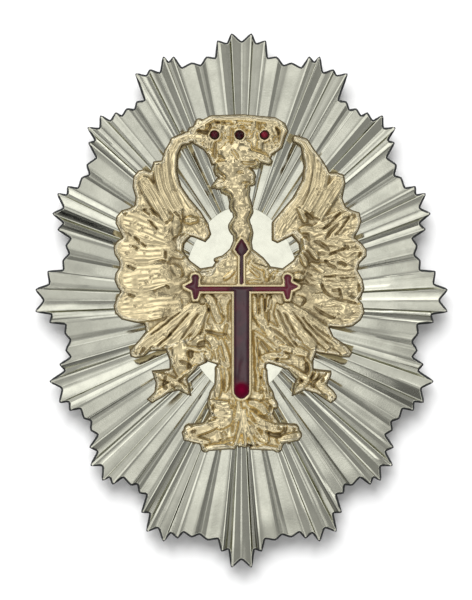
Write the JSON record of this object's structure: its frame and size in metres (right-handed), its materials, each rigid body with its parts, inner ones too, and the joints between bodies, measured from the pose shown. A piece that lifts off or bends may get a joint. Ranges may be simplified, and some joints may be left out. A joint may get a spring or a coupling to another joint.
{
  "type": "wallet badge",
  "caption": "Oval wallet badge: a pleated rayed star in white metal with a gilt crowned eagle displayed and a long red enamel cross, held by short posts on its flat back.",
  "frame": {"origin": "on the surface that the badge lies on, under the middle of its bounding box", "axes": "+Z out of the badge's face, +Y towards the crown, +X to the right as seen from the front; the badge lies face up on its three posts"},
  "size_m": [0.052, 0.0673, 0.0077],
  "materials": {
    "white_metal": "polished nickel silver",
    "gilt_metal": "polished gilding",
    "red_enamel": "glossy dark red enamel",
    "red_stone": "glossy red",
    "post_metal": "plain turned"
  },
  "bodies": {
    "root": {"star_plaque": "white_metal", "eagle": "gilt_metal", "enamel_tee": "red_enamel", "enamel_spear": "red_enamel", "crown_stone_1": "red_stone", "crown_stone_2": "red_stone", "crown_stone_3": "red_stone", "post_top": "post_metal", "post_left": "post_metal", "post_right": "post_metal"}
  },
  "joints": []
}
